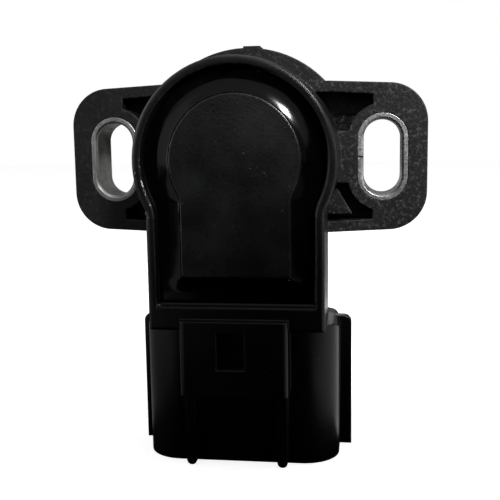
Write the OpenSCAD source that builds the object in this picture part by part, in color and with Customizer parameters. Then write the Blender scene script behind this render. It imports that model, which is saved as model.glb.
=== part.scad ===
// Throttle position sensor: a sprung rotary potentiometer in a two-eared moulded housing.
// X points to the right ear, Z points up and Y points into the throttle body.
// The rotor turns about Y. The origin is on its axis, on the face that bears on the throttle body.

/* [Flange] */
// Distance between the centres of the two mounting slots
slot_spacing = 38.8; // [36:0.1:46]
// Clear width of a lined slot
slot_w = 5.3; // [4.4:0.1:6]
// Clear length of a lined slot
slot_l = 10.6; // [8:0.1:11.4]
// Wall of the steel slot liners
liner_t = 0.82; // [0.6:0.02:1.1]
// How far the liners stand out of the flange
liner_proud = 0.1; // [0.05:0.05:0.4]
// Gap at the seam where a liner was rolled shut
seam_gap = 0.18; // [0.1:0.02:0.4]
// Thickness of the flange
flange_t = 6.6; // [5:0.1:9]
// Plastic between a liner and the tip of its ear
ear_tip_t = 2.73; // [1.6:0.01:4]
// Plastic above and below a liner
ear_side_t = 4.16; // [3.4:0.01:6]
// Corner radius of an ear
ear_r = 5.4; // [3:0.1:7]
// How much further out the flange edges run beside the head than at the ears
ear_flare = 0.4; // [0:0.05:1]
// Depth of the moulded pockets in the flange
pocket_d = 5; // [2:0.1:5.4]
// Rail left above and below the pockets
rail_t = 1.5; // [1:0.1:2]
// Height of the web between the upper and the lower pocket
web_h = 7.2; // [5:0.1:9]
// Plastic round a liner inside the pockets
boss_t = 1.4; // [0.8:0.1:2]
// Distance from a slot's centre to the near end of the pockets
pocket_end = 1.35; // [0.5:0.05:3]
// Height of the ramp that climbs from a pocket floor to the web
ramp_h = 2.5; // [1:0.1:3]

/* [Head] */
// Outer radius of the head
head_r = 13.5; // [12.8:0.1:15]
// Distance from the mounting face to the front of the rim
head_h = 18.9; // [17.6:0.1:22]
// Width of the stem below the head
stem_w = 23.6; // [21:0.1:25]
// Distance from the rotor's axis to the foot of the stem
stem_drop = 22.55; // [20.5:0.05:26]
// Thickness of the stem from front to back
stem_t = 10.9; // [10:0.1:11.5]
// Radius of the fillet between head and stem
neck_r = 5; // [2:0.1:8]
// Thickness of the rim
rim_t = 1.15; // [0.8:0.05:1.6]
// Thickness of the rim's foot
foot_t = 3.25; // [2:0.05:4]
// Distance of the ribs behind the stem from its middle
rib_x = 7; // [4:0.5:9]
// Thickness of the ribs behind the stem
rib_t = 1.6; // [1:0.1:2.5]
// Distance from the mounting face to the back of the ribs
rib_back = 3; // [2.6:0.1:5]
// Bevel along the outer edge of the rim
rim_bevel = 0.35; // [0.1:0.05:0.6]
// Radius of the round collar behind the head
collar_r = 15.65; // [14.8:0.05:17]
// Height of the collar above the mounting face
collar_h = 5; // [3:0.1:6]
// Width of the gate mark on top of the collar
gate_w = 2.4; // [1:0.1:4]
// Height of the gate mark
gate_h = 0.24; // [0.1:0.02:0.6]
// Distance of the gate mark from the middle
gate_off = 0.8; // [-2:0.1:2]

/* [Cover] */
// Radius of the round end of the cover plate
cover_r = 8.9; // [8.6:0.05:10.2]
// Width of the cover plate's stem
cover_w = 15; // [14:0.1:16]
// Distance from the rotor's axis to the cover plate's lower edge
cover_drop = 15.6; // [14.8:0.1:17.5]
// Fillet radius between the cover plate's round end and its stem
cover_neck_r = 3; // [1:0.1:6]
// Thickness of the cover plate
cover_t = 1.5; // [1:0.1:2]
// How far the cover plate lies below the rim
cover_sink = 0.9; // [0.5:0.1:1.6]
// Bevel round the front of the cover plate
cover_bevel = 0.25; // [0.1:0.05:0.4]
// How far the resin lies below the rim
potting_sink = 1.7; // [1.2:0.1:2.2]
// How far the moat's floor lies in front of the board's ledge
moat_step = 0.5; // [0.2:0.1:1]
// Thickness of the chamber wall that the cover plate sits on
seat_t = 0.95; // [0.7:0.05:1.1]

/* [Element board] */
// Ledge that carries the board's edge
ledge_t = 1; // [0.6:0.1:1.1]
// Gap round the board
board_gap = 0.15; // [0.05:0.05:0.3]
// Thickness of the board
board_t = 1; // [0.6:0.1:1.6]
// Space between the board and the cover plate
board_room = 3; // [1.6:0.1:4]
// Thickness of the printed tracks
track_t = 0.1; // [0.05:0.01:0.2]
// Width of a printed arc
track_w = 1.2; // [0.8:0.1:1.4]
// Mean radius of the resistive arc
resistor_r = 5.6; // [5.2:0.1:5.8]
// Mean radius of the conductive arc
collector_r = 3.6; // [3.2:0.1:3.8]
// Width of a conductor trace
trace_w = 0.8; // [0.5:0.1:1]
// Height of the solder fillets
solder_h = 0.6; // [0.3:0.1:0.8]
// Margin of a trace's pad round its tail
pad_margin = 0.3; // [0.2:0.05:0.4]
// Gap round the pads behind the board
pad_gap = 0.1; // [0.05:0.01:0.2]
// Distance from the pads to where the outer traces turn
trace_turn = 2.2; // [1.6:0.1:3]
// Distance from that turn to where the middle trace turns
trace_step = 3; // [2:0.1:4]

/* [Rotor] */
// Working travel of the rotor in degrees
travel = 100; // [70:5:110]
// Radius of the rotor's hub
hub_r = 4.6; // [4.2:0.1:5]
// Radial running clearance of the hub in its bearing
bearing_gap = 0.05; // [0.02:0.01:0.1]
// Length of the bearing
bearing_l = 3.4; // [2.4:0.1:3.8]
// Thickness of the thrust washer
washer_t = 0.4; // [0.3:0.05:0.6]
// Gap between the thrust washer and the rotor
thrust_gap = 0.05; // [0.02:0.01:0.1]
// Radial width of the rotor's shoulder beyond its hub
shoulder_t = 0.7; // [0.5:0.05:0.8]
// Length of the shoulder, which leaves room for the spring
shoulder_l = 4.65; // [4.4:0.05:4.9]
// Gap between the rotor's disc and the chamber
disc_gap = 0.3; // [0.2:0.05:0.5]
// Thickness of the rotor's disc
disc_t = 1.4; // [1:0.1:1.6]
// Space between the rotor's disc and the board
wiper_room = 1.8; // [1.4:0.1:2]
// Thickness of the wiper's sheet
wiper_t = 0.15; // [0.1:0.01:0.25]
// Width of the wiper's fingers
finger_w = 0.8; // [0.5:0.1:1]
// Outer radius of the wiper's ring
brush_r = 2.2; // [1.8:0.1:2.6]
// Radius of the stud that the wiper is staked on
stud_r = 1; // [0.7:0.1:1.3]
// Gap between the wiper's contacts and the tracks
contact_gap = 0.06; // [0.03:0.01:0.1]
// How far the hub's end stands out behind the seal
hub_out = 2.2; // [1:0.1:3]
// Width of the drive slot in the hub
drive_w = 2.4; // [1.6:0.1:3]
// Length of the drive slot
drive_l = 6.8; // [5:0.1:7.4]
// Depth of the drive slot
drive_d = 5; // [3:0.1:6]
// Wire diameter of the return spring
wire_d = 0.6; // [0.4:0.02:0.64]
// Number of turns of the return spring
spring_turns = 5.5; // [3:0.25:5.75]
// Gap between the return spring and the rotor's shoulder
spring_gap = 0.2; // [0.1:0.05:0.25]

/* [Spigot] */
// Radius of the spigot that enters the throttle body
spigot_r = 10.5; // [10:0.1:12]
// Length of the spigot
spigot_l = 5; // [4.4:0.1:6]
// Thickness of the O-ring's cord as the bore squeezes it
oring_d = 1.55; // [1.2:0.05:1.9]
// Depth by which the groove's floor lies under the squeezed O-ring's outside
groove_d = 1.6; // [1.3:0.05:2]
// Spare width of the groove beside the O-ring
groove_spare = 0.4; // [0.2:0.1:0.8]
// Distance from the mounting face to the O-ring groove
groove_at = 1.4; // [1:0.1:1.6]
// Radius of the recess in the spigot
recess_r = 7.4; // [7:0.1:7.8]
// Outer radius of the shaft seal
seal_r = 6.4; // [6:0.1:6.8]
// Length of the shaft seal
seal_l = 2; // [1.4:0.1:2.4]

/* [Connector] */
// Width of the socket
socket_w = 27; // [24.6:0.1:29]
// Distance from front to back of the socket
socket_d = 14.4; // [12.4:0.1:16]
// How far the socket's front lies behind the front of the rim
socket_sink = 2.1; // [1.4:0.1:3]
// Corner radius of the socket
socket_r = 5; // [3:0.1:6]
// Wall of the socket
socket_t = 1.6; // [1.2:0.1:2.2]
// Distance from the rotor's axis to the socket's mouth
mouth_drop = 41.4; // [38:0.1:46]
// How far above the stem's foot the socket's shoulders lie
shoulder_up = 0.25; // [0.1:0.05:1.5]
// Radius of the socket's shoulders and of the tops of the guide wings
shoulder_r = 1.1; // [0.5:0.1:2]
// Thickness of the roof inside the socket
roof_t = 3; // [2:0.1:4]
// How far the guide wings stand out from the socket
wing_out = 1.65; // [1:0.05:3]
// Thickness of the guide wings
wing_t = 1.6; // [1:0.1:2.4]
// Distance from the mounting face to the front of the guide wings
wing_front = 8.8; // [6:0.1:11]
// Width of the latch bridge
bridge_w = 14.5; // [12:0.1:18]
// Distance of the latch bridge's centre from the middle
bridge_off = -0.2; // [-1:0.05:1]
// Height of the latch bridge
bridge_h = 10.2; // [9:0.1:13]
// How far above the stem's foot the latch bridge begins
bridge_up = 1.55; // [0.5:0.05:2.5]
// How far the latch bridge stands out from the socket
bridge_out = 3.5; // [3:0.1:4.5]
// Thickness of the latch bridge's wall
bridge_t = 1.7; // [1.2:0.1:2]
// Radius of the latch bridge's edges
bridge_r = 0.7; // [0.3:0.1:1]
// Width of the latch window
window_w = 3.7; // [2.5:0.1:6]
// Height of the latch window
window_h = 5; // [3:0.1:6]
// Distance from the top of the latch bridge to the window
window_at = 1.5; // [1:0.1:2.5]
// Distance of the latch window's centre from the middle
window_off = -0.55; // [-1.5:0.05:1.5]
// Thickness of the guide rails
rail_w = 1.4; // [1:0.1:2]
// How far the guide rails stand out from the socket
rail_out = 1.6; // [1:0.1:2]
// How far the guide rails reach past the socket's mouth
rail_drop = 0.1; // [0:0.1:0.6]

/* [Terminals] */
// Distance between the terminals
pin_pitch = 4.6; // [4:0.1:4.8]
// Width of a terminal's blade
pin_w = 2.2; // [1.6:0.1:2.6]
// Thickness of the terminals
pin_t = 0.64; // [0.5:0.02:0.8]
// Width of a terminal's tail in the board
tail_w = 1; // [0.8:0.05:1.2]
// How far a tail stands out of the board
tail_out = 0.9; // [0.6:0.1:1.4]
// Distance from the board's lower edge to the tails
tail_inset = 1.6; // [1.5:0.1:2]
// How far the blades end inside the socket's mouth
pin_inset = 4.4; // [3:0.1:8]
// Gap between a tail and its hole
tail_gap = 0.08; // [0.04:0.02:0.12]

/* [Hidden] */
$fn = 96;

// Overshoot of a cut past the face it opens
over = 1;

// Flange, from the liners outwards
slot_x = slot_spacing / 2;
liner_w = slot_w + 2 * liner_t;
liner_l = slot_l + 2 * liner_t;
ear_x = slot_x + liner_w / 2 + ear_tip_t;
ear_y = liner_l / 2 + ear_side_t;
flare_x = head_r - 1.5;
pocket_floor = flange_t - pocket_d;
head_back = pocket_floor - 0.4;

// Levels inside the head, as distances from the mounting face. What the cover plate closes in hangs
// from the plate: first the board, then the rotor and its bearing.
stem_back = head_h - stem_t;
cover_front = head_h - cover_sink;
cover_back = cover_front - cover_t;
potting_level = head_h - potting_sink;
board_front = cover_back - board_room;
board_back = board_front - board_t;
disc_front = board_back - wiper_room;
disc_back = disc_front - disc_t;
shoulder_back = disc_back - shoulder_l;
floor_front = shoulder_back - washer_t - thrust_gap;
seal_front = floor_front - bearing_l;
seal_back = seal_front - seal_l;
relief_floor = board_back - 4 * track_t;
moat_floor = board_back + moat_step;

// Rotor and what surrounds it
chamber_r = cover_r - seat_t - ledge_t;
bearing_r = hub_r + bearing_gap;
disc_r = chamber_r - disc_gap;
shoulder_r1 = hub_r + shoulder_t;
spring_r = shoulder_r1 + spring_gap + wire_d / 2;
spring_back = floor_front + washer_t + 0.1;
spring_pitch = (shoulder_l - wire_d - 0.1) / spring_turns;
hub_back = seal_back - hub_out;
groove_w = oring_d + groove_spare;
rest_angle = 90 - travel / 2;
lug_r = cover_r - seat_t - board_gap - 0.25;
lug_half = 9;
lug_rest = 180 + rest_angle;
lug_spare = 4;

// Board and terminals
board_low = cover_drop - seat_t - board_gap;
tail_drop = board_low - tail_inset;
socket_front = head_h - socket_sink;
socket_mid = socket_front - socket_d / 2;
shoulder_drop = stem_drop - shoulder_up;
pin_drop = mouth_drop - pin_inset;
roof_drop = shoulder_drop + roof_t;

black = [0.09, 0.09, 0.095];
steel = [0.62, 0.62, 0.6];
tin = [0.75, 0.74, 0.7];

// Lays a shape on the mounting face, its height becoming the distance towards the cover
module on_face() {
    rotate([90, 0, 0]) children();
}

// Extrudes a section of the socket upwards from a distance below the rotor's axis.
// The section's y axis points to the cover.
module from_below(drop, height) {
    translate([0, height - drop, 0]) rotate([90, 0, 0]) linear_extrude(height) children();
}

module rounded(w, h, r) {
    square([w - 2 * r, h], center = true);
    square([w, h - 2 * r], center = true);
    for (x = [-1, 1], y = [-1, 1])
        translate([x * (w / 2 - r), y * (h / 2 - r)]) circle(r);
}

module oval(w, l) {
    square([w, l - w], center = true);
    for (y = [-1, 1])
        translate([0, y * (l - w) / 2]) circle(d = w);
}

// Distance of a neck fillet's centre below the axis. A stem as wide as the head leaves no room for one.
function neck_y(r, half, neck) = half < r ? sqrt(pow(r + neck, 2) - pow(half + neck, 2)) : 0;

// Straight stem and the corners that the neck fillets leave, with the stem's foot at drop
module stem_outline(r, half, drop, neck) {
    fillet_x = half + neck;
    fillet_y = neck_y(r, half, neck);
    touch = r / (r + neck);
    polygon([
        [0, 0], [-fillet_x * touch, -fillet_y * touch], [-half, -fillet_y], [-half, -drop],
        [half, -drop], [half, -fillet_y], [fillet_x * touch, -fillet_y * touch]
    ]);
}

// Round end, straight stem and a fillet in each neck
module keyhole(r, w, drop, neck) {
    circle(r);
    neck_and_stem(r, w, drop, neck);
}

module neck_and_stem(r, w, drop, neck) {
    difference() {
        stem_outline(r, w / 2, drop, neck);
        for (side = [-1, 1])
            translate([side * (w / 2 + neck), -neck_y(r, w / 2, neck)]) circle(neck);
    }
}

module well_outline() {
    keyhole(head_r - rim_t, stem_w - 2 * rim_t, stem_drop - foot_t, neck_r + rim_t);
}

module cover_outline(inset = 0) {
    keyhole(cover_r - inset, cover_w - 2 * inset, cover_drop - inset, cover_neck_r + inset);
}

module flange_outline() {
    edge = ear_y + ear_flare;
    corner_x = ear_x - ear_r;
    corner_y = ear_y - ear_r;
    polygon([
        [flare_x, edge], [-flare_x, edge], [-corner_x, ear_y], [-ear_x, corner_y],
        [-ear_x, -corner_y], [-corner_x, -ear_y], [-flare_x, -edge], [flare_x, -edge],
        [corner_x, -ear_y], [ear_x, -corner_y], [ear_x, corner_y], [corner_x, ear_y]
    ]);
    for (x = [-1, 1], y = [-1, 1])
        translate([x * corner_x, y * corner_y]) circle(ear_r);
}

// One pocket between head and liner, drawn in the upper right quarter
module pocket_outline() {
    far_x = slot_x - pocket_end;
    difference() {
        polygon([
            [0, web_h / 2],
            [far_x, web_h / 2],
            [far_x, ear_y - rail_t],
            [flare_x, ear_y + ear_flare - rail_t],
            [0, ear_y + ear_flare - rail_t]
        ]);
        translate([slot_x, 0]) oval(liner_w + 2 * boss_t, liner_l + 2 * boss_t);
        circle(head_r - 1);
    }
}

// Ramp from the floor of an upper pocket to the web, right side
module web_ramp() {
    translate([head_r - 2, 0, 0]) rotate([90, 0, 90]) linear_extrude(slot_x - head_r + 1)
        polygon([
            [web_h / 2 - over, pocket_floor - 0.5],
            [web_h / 2 + ramp_h, pocket_floor - 0.5],
            [web_h / 2 + ramp_h, pocket_floor],
            [web_h / 2, flange_t],
            [web_h / 2 - over, flange_t]
        ]);
}

// Gusset between the neck and the lower rail, right side
module gusset() {
    foot = ear_y - rail_t;
    translate([0, 0, pocket_floor - 0.5]) linear_extrude(pocket_d * 0.7 + 0.5)
        polygon([
            [stem_w / 2 - 1, 0.6 - foot],
            [head_r + 1.7, 0.6 - foot],
            [head_r - 0.4, -web_h / 2 - 1],
            [stem_w / 2 - 1, -web_h / 2 - 0.5]
        ]);
}

module flange() {
    difference() {
        union() {
            linear_extrude(flange_t) flange_outline();
            cylinder(h = collar_h, r = collar_r);
            translate([gate_off - gate_w / 2, 0, 0]) cube([gate_w, collar_r + gate_h, collar_h]);
        }
        for (x = [0, 1], y = [0, 1]) mirror([x, 0, 0]) mirror([0, y, 0])
            translate([0, 0, pocket_floor]) linear_extrude(flange_t) pocket_outline();
    }
    for (x = [0, 1]) mirror([x, 0, 0]) {
        web_ramp();
        gusset();
    }
}

// Socket walls with rounded shoulders, as the crossing of its section and its front view
module socket_body() {
    height = mouth_drop - shoulder_drop;
    intersection() {
        from_below(mouth_drop, height)
            translate([0, socket_mid]) rounded(socket_w, socket_d, socket_r);
        translate([0, 0, socket_mid - socket_d]) linear_extrude(2 * socket_d) {
            translate([-socket_w / 2, -mouth_drop]) square([socket_w, height - shoulder_r]);
            translate([-socket_w / 2 + shoulder_r, -mouth_drop])
                square([socket_w - 2 * shoulder_r, height]);
            for (side = [-1, 1])
                translate([side * (socket_w / 2 - shoulder_r), -shoulder_drop - shoulder_r])
                    circle(shoulder_r);
        }
    }
}

module guide_wings() {
    reach = socket_w / 2 + wing_out;
    top = shoulder_drop + 0.1;
    height = mouth_drop - 0.1 - top;
    translate([0, 0, wing_front - wing_t]) linear_extrude(wing_t) {
        translate([-reach, -top - height]) square([2 * reach, height - shoulder_r]);
        translate([-reach + shoulder_r, -top - height]) square([2 * (reach - shoulder_r), height]);
        for (side = [-1, 1])
            translate([side * (reach - shoulder_r), -top - shoulder_r]) circle(shoulder_r);
    }
}

// Latch bridge with its tunnel and window, and the rails that guide the plug's latch into it
module latch_bridge() {
    top = stem_drop - bridge_up;
    low = top + bridge_h;
    front = socket_front + bridge_out;
    tunnel = bridge_w - 2 * bridge_t;
    rail_end = mouth_drop + rail_drop - rail_w / 2;
    difference() {
        from_below(low, bridge_h)
            translate([bridge_off, front - 2 * bridge_out])
                rounded(bridge_w, 4 * bridge_out, bridge_r);
        from_below(low + over, bridge_h - bridge_r - 0.5 + over)
            translate([bridge_off - tunnel / 2, socket_front - 8 * bridge_out])
                square([tunnel, 9 * bridge_out - bridge_t]);
        translate([window_off - window_w / 2, -top - window_at - window_h, socket_front])
            cube([window_w, window_h, bridge_out + over]);
    }
    for (side = [-1, 1])
        translate([bridge_off + side * (tunnel + rail_w) / 2, -rail_end, socket_front - over])
            linear_extrude(rail_out + over) {
                translate([-rail_w / 2, 0]) square([rail_w, rail_end - low + over]);
                circle(d = rail_w);
            }
}

// Head and stem with a bevelled rim, and two ribs behind the stem
module head() {
    top = head_h - rim_bevel;
    translate([0, 0, head_back]) cylinder(h = top - head_back, r = head_r);
    translate([0, 0, stem_back]) linear_extrude(top - stem_back)
        neck_and_stem(head_r, stem_w, stem_drop, neck_r);
    translate([0, 0, top]) bevelled_keyhole(head_r, stem_w, stem_drop, neck_r, rim_bevel);
    for (side = [-1, 1])
        translate([side * rib_x - rib_t / 2, -stem_drop, rib_back])
            cube([rib_t, stem_drop - ear_y + 1, stem_back - rib_back + 1]);
}

// A keyhole plate whose edge slopes inwards by its own thickness
module bevelled_keyhole(r, w, drop, neck, t) {
    half = w / 2;
    fillet_y = neck_y(r, half, neck);
    cylinder(h = t, r1 = r, r2 = r - t);
    intersection() {
        rotate([90, 0, 0]) linear_extrude(drop)
            polygon([[-half, 0], [half, 0], [half - t, t], [t - half, t]]);
        translate([-half, 0, 0]) rotate([90, 0, 90]) linear_extrude(w)
            polygon([[-drop, 0], [0, 0], [0, t], [t - drop, t]]);
    }
    if (half < r) difference() {
        linear_extrude(t) stem_outline(r, half, fillet_y, neck);
        for (side = [-1, 1]) translate([side * (half + neck), -fillet_y, 0])
            cylinder(h = t, r1 = neck, r2 = neck + t);
    }
}

// Everything that is open from the front: resin moat, board chamber and rotor chamber
module front_openings() {
    difference() {
        translate([0, 0, moat_floor]) linear_extrude(head_h) well_outline();
        translate([0, 0, moat_floor - over]) linear_extrude(cover_back - moat_floor + over)
            cover_outline();
    }
    translate([0, 0, board_back]) linear_extrude(head_h) cover_outline(seat_t);
    translate([0, 0, relief_floor]) linear_extrude(board_back) cover_outline(seat_t + ledge_t);
    translate([0, 0, floor_front]) cylinder(h = head_h, r = chamber_r);
    lug_channel();
    spring_slot();
    trace_reliefs();
}

// Room behind the board for the outer ends of the traces
module trace_reliefs() {
    half = tail_w / 2 + pad_margin + pad_gap;
    low = tail_drop + pin_t / 2 + pad_margin + pad_gap;
    high = tail_drop - trace_turn - trace_w / 2 - pad_gap;
    for (side = [-1, 1])
        translate([side * pin_pitch - half, -low, relief_floor])
            cube([2 * half, low - high, board_back - relief_floor + 0.5 * board_t]);
}

// Room for the rotor's stop lug over its travel
module lug_channel() {
    translate([0, 0, disc_back - 0.3]) rotate([0, 0, lug_rest - lug_half - lug_spare])
        rotate_extrude(angle = travel + 2 * (lug_half + lug_spare))
            translate([hub_r, 0]) square([lug_r + 0.2 - hub_r, board_back - disc_back + 0.3]);
}

// Slot in the chamber wall that holds the return spring's outer end
module spring_slot() {
    translate([0, spring_r - wire_d / 2 - 0.1, spring_back - 0.05])
        cube([chamber_r + 1.2, wire_d + 0.2, wire_d + 0.15]);
}

module back_openings() {
    low = min(-spigot_l, seal_back) - over;
    translate([0, 0, low]) cylinder(h = seal_back - low, r = recess_r);
    translate([0, 0, seal_back - over]) cylinder(h = seal_l + over, r = seal_r);
    translate([0, 0, seal_front - over]) cylinder(h = bearing_l + 2 * over, r = bearing_r);
}

module socket_openings() {
    depth = mouth_drop - roof_drop;
    from_below(mouth_drop + over, depth + over) translate([0, socket_mid])
        rounded(socket_w - 2 * socket_t, socket_d - 2 * socket_t, socket_r - socket_t);
}

module housing() {
    color(black) on_face() difference() {
        union() {
            flange();
            head();
            socket_body();
            guide_wings();
            latch_bridge();
            translate([0, 0, -spigot_l]) cylinder(h = spigot_l + over, r = spigot_r);
        }
        for (side = [-1, 1])
            translate([side * slot_x, 0, -over]) linear_extrude(flange_t + 2 * over)
                oval(liner_w, liner_l);
        translate([0, 0, -groove_at - groove_w]) difference() {
            cylinder(h = groove_w, r = spigot_r + over);
            cylinder(h = groove_w, r = spigot_r - groove_d);
        }
        front_openings();
        back_openings();
        socket_openings();
        for (n = [-1, 0, 1]) terminal(n);
    }
}

module bushing() {
    bevel = liner_t * 0.35;
    height = flange_t + liner_proud;
    difference() {
        linear_extrude(height) oval(liner_w, liner_l);
        translate([0, 0, -over]) linear_extrude(height + 2 * over) oval(slot_w, slot_l);
        for (y = [-1, 1]) translate([0, y * (slot_l - slot_w) / 2, height - bevel])
            cylinder(h = bevel, r1 = slot_w / 2, r2 = slot_w / 2 + bevel);
        translate([0, (slot_l - slot_w) / 2, height - bevel]) rotate([90, 0, 0])
            linear_extrude(slot_l - slot_w)
                polygon([
                    [-slot_w / 2, 0], [slot_w / 2, 0],
                    [slot_w / 2 + bevel, bevel], [-slot_w / 2 - bevel, bevel]
                ]);
        translate([-liner_w, -seam_gap / 2, -over]) cube([liner_w, seam_gap, height + 2 * over]);
    }
}

module bushing_left() {
    color(steel) on_face() translate([-slot_x, 0, 0]) mirror([1, 0, 0]) bushing();
}

module bushing_right() {
    color(steel) on_face() translate([slot_x, 0, 0]) bushing();
}

module cover_plate() {
    color([0.11, 0.11, 0.115]) on_face() {
        translate([0, 0, cover_back]) linear_extrude(cover_t - cover_bevel) cover_outline();
        translate([0, 0, cover_front - cover_bevel])
            bevelled_keyhole(cover_r, cover_w, cover_drop, cover_neck_r, cover_bevel);
    }
}

module potting() {
    color([0.02, 0.02, 0.022]) on_face() translate([0, 0, moat_floor])
        linear_extrude(potting_level - moat_floor) difference() {
            well_outline();
            cover_outline();
        }
}

module element_board() {
    color([0.16, 0.28, 0.2]) on_face() difference() {
        translate([0, 0, board_back]) linear_extrude(board_t) cover_outline(seat_t + board_gap);
        for (n = [-1, 0, 1]) terminal_tail(n, tail_gap);
    }
}

// A printed arc on the back of the board, over the wiper's travel and a little more
module printed_arc(r) {
    spare = 8;
    on_face() translate([0, 0, board_back - track_t]) rotate([0, 0, rest_angle - spare])
        rotate_extrude(angle = travel + 2 * spare)
            translate([r - track_w / 2, 0]) square([track_w, track_t]);
}

module resistor_track() {
    color([0.12, 0.12, 0.12]) printed_arc(resistor_r);
}

module collector_track() {
    color([0.2, 0.2, 0.22]) printed_arc(collector_r);
}

// A straight trace between two points, on the back of the board
module trace(from, to) {
    low_x = min(from[0], to[0]) - trace_w / 2;
    low_y = min(from[1], to[1]) - trace_w / 2;
    translate([low_x, low_y])
        square([abs(to[0] - from[0]) + trace_w, abs(to[1] - from[1]) + trace_w]);
}

module conductor_traces() {
    arc_end = rest_angle - 8;
    pad_y = -tail_drop;
    turn_y = pad_y + trace_turn;
    step_y = turn_y + trace_step;
    inner_x = collector_r * cos(arc_end);
    outer_x = resistor_r * cos(arc_end);
    color([0.8, 0.8, 0.78]) on_face() translate([0, 0, board_back - track_t])
        linear_extrude(track_t) difference() {
            union() {
                for (side = [-1, 1]) {
                    trace([side * outer_x, resistor_r * sin(arc_end)], [side * outer_x, turn_y]);
                    trace([side * outer_x, turn_y], [side * pin_pitch, turn_y]);
                    trace([side * pin_pitch, turn_y], [side * pin_pitch, pad_y]);
                }
                trace([-inner_x, collector_r * sin(arc_end)], [-inner_x, step_y]);
                trace([-inner_x, step_y], [0, step_y]);
                trace([0, step_y], [0, pad_y]);
                for (n = [-1, 0, 1]) translate([n * pin_pitch, pad_y])
                    square([tail_w + 2 * pad_margin, pin_t + 2 * pad_margin], center = true);
            }
            for (n = [-1, 0, 1]) translate([n * pin_pitch, pad_y])
                square([tail_w + 2 * tail_gap, pin_t + 2 * tail_gap], center = true);
            for (r = [resistor_r, collector_r])
                rotate([0, 0, arc_end]) arc_sector(r, travel + 16);
        }
}

// The area of a printed arc, in plan
module arc_sector(r, angle) {
    reach = 2 * r;
    difference() {
        intersection() {
            circle(r + track_w / 2);
            polygon([
                [0, 0], [reach, 0], [reach * cos(angle / 3), reach * sin(angle / 3)],
                [reach * cos(angle * 2 / 3), reach * sin(angle * 2 / 3)],
                [reach * cos(angle), reach * sin(angle)]
            ]);
        }
        circle(r - track_w / 2);
    }
}

// Upright tail of terminal n, -1 at the left to 1 at the right
module terminal_tail(n, grow = 0) {
    low = socket_mid - pin_t / 2;
    translate([
        n * pin_pitch - tail_w / 2 - grow,
        -tail_drop - pin_t / 2 - grow,
        low
    ]) cube([tail_w + 2 * grow, pin_t + 2 * grow, board_front + tail_out - low]);
}

// Terminal n: a blade in the socket, a shank in the stem and a tail bent through the board
module terminal(n) {
    tip = 0.5;
    half = pin_w / 2;
    top = -tail_drop + pin_t / 2;
    terminal_tail(n);
    translate([n * pin_pitch, 0, socket_mid - pin_t / 2]) linear_extrude(pin_t) {
        polygon([
            [-half, -pin_drop + 2 * tip], [-half + tip, -pin_drop],
            [half - tip, -pin_drop], [half, -pin_drop + 2 * tip],
            [half, -shoulder_drop], [tail_w / 2, -shoulder_drop + half],
            [tail_w / 2, top], [-tail_w / 2, top],
            [-tail_w / 2, -shoulder_drop + half], [-half, -shoulder_drop]
        ]);
    }
}

module pin_supply() {
    color(tin) on_face() terminal(-1);
}

module pin_signal() {
    color(tin) on_face() terminal(0);
}

module pin_ground() {
    color(tin) on_face() terminal(1);
}

module solder_joints() {
    color([0.7, 0.7, 0.72]) on_face() for (n = [-1, 0, 1]) difference() {
        translate([n * pin_pitch, -tail_drop, board_front])
            cylinder(h = solder_h, r1 = tail_w, r2 = tail_w * 0.65);
        terminal_tail(n);
    }
}

module rotor() {
    spring_end = spring_turns * 360;
    color([0.82, 0.78, 0.66]) on_face() difference() {
        union() {
            translate([0, 0, hub_back]) cylinder(h = disc_front - hub_back, r = hub_r);
            translate([0, 0, shoulder_back]) cylinder(h = shoulder_l, r = shoulder_r1);
            translate([0, 0, disc_back]) cylinder(h = disc_t, r = disc_r);
            translate([0, 0, disc_back]) rotate([0, 0, lug_rest - lug_half])
                rotate_extrude(angle = 2 * lug_half)
                    translate([hub_r, 0]) square([lug_r - hub_r, disc_t]);
            translate([0, 0, disc_front]) cylinder(h = 3 * wiper_t, r = stud_r);
        }
        translate([-drive_l / 2, -drive_w / 2, hub_back - over])
            cube([drive_l, drive_w, drive_d + over]);
        rotate([0, 0, spring_end]) translate([0, spring_r, disc_back - over])
            cylinder(h = disc_t * 0.6 + over, d = wire_d + 0.2);
    }
}

// Contact brush: a flat ring on the rotor and two fingers that rise to the tracks
module wiper() {
    rise = board_back - track_t - contact_gap - disc_front - 1.5 * wiper_t;
    reach = resistor_r + 0.65 * finger_w;
    run = sqrt(pow(disc_r - disc_gap, 2) - pow(reach, 2));
    lead = run - finger_w / 2;
    slope = atan2(rise, lead);
    color([0.85, 0.66, 0.3]) on_face() {
        translate([0, 0, disc_front]) linear_extrude(wiper_t) difference() {
            union() {
                circle(brush_r);
                rotate([0, 0, rest_angle]) translate([0, -run]) square([reach, 1.5 * finger_w]);
                rotate([0, 0, rest_angle]) translate([0, -run]) square([brush_r - finger_w / 2, run]);
            }
            circle(stud_r);
        }
        rotate([0, 0, rest_angle]) for (r = [collector_r, resistor_r])
            translate([r - finger_w / 2, -lead, disc_front + wiper_t / 2]) rotate([slope, 0, 0])
                cube([finger_w, lead / cos(slope), wiper_t]);
    }
}

// Points of a helix with its ends run out: one outwards into the housing, one up into the rotor
function coil_points() = [
    for (i = [0 : 18 * spring_turns])
        let (a = 90 + 20 * i)
            [spring_r * cos(a), spring_r * sin(a), spring_back + wire_d / 2 + spring_pitch * i / 18]
];

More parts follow.
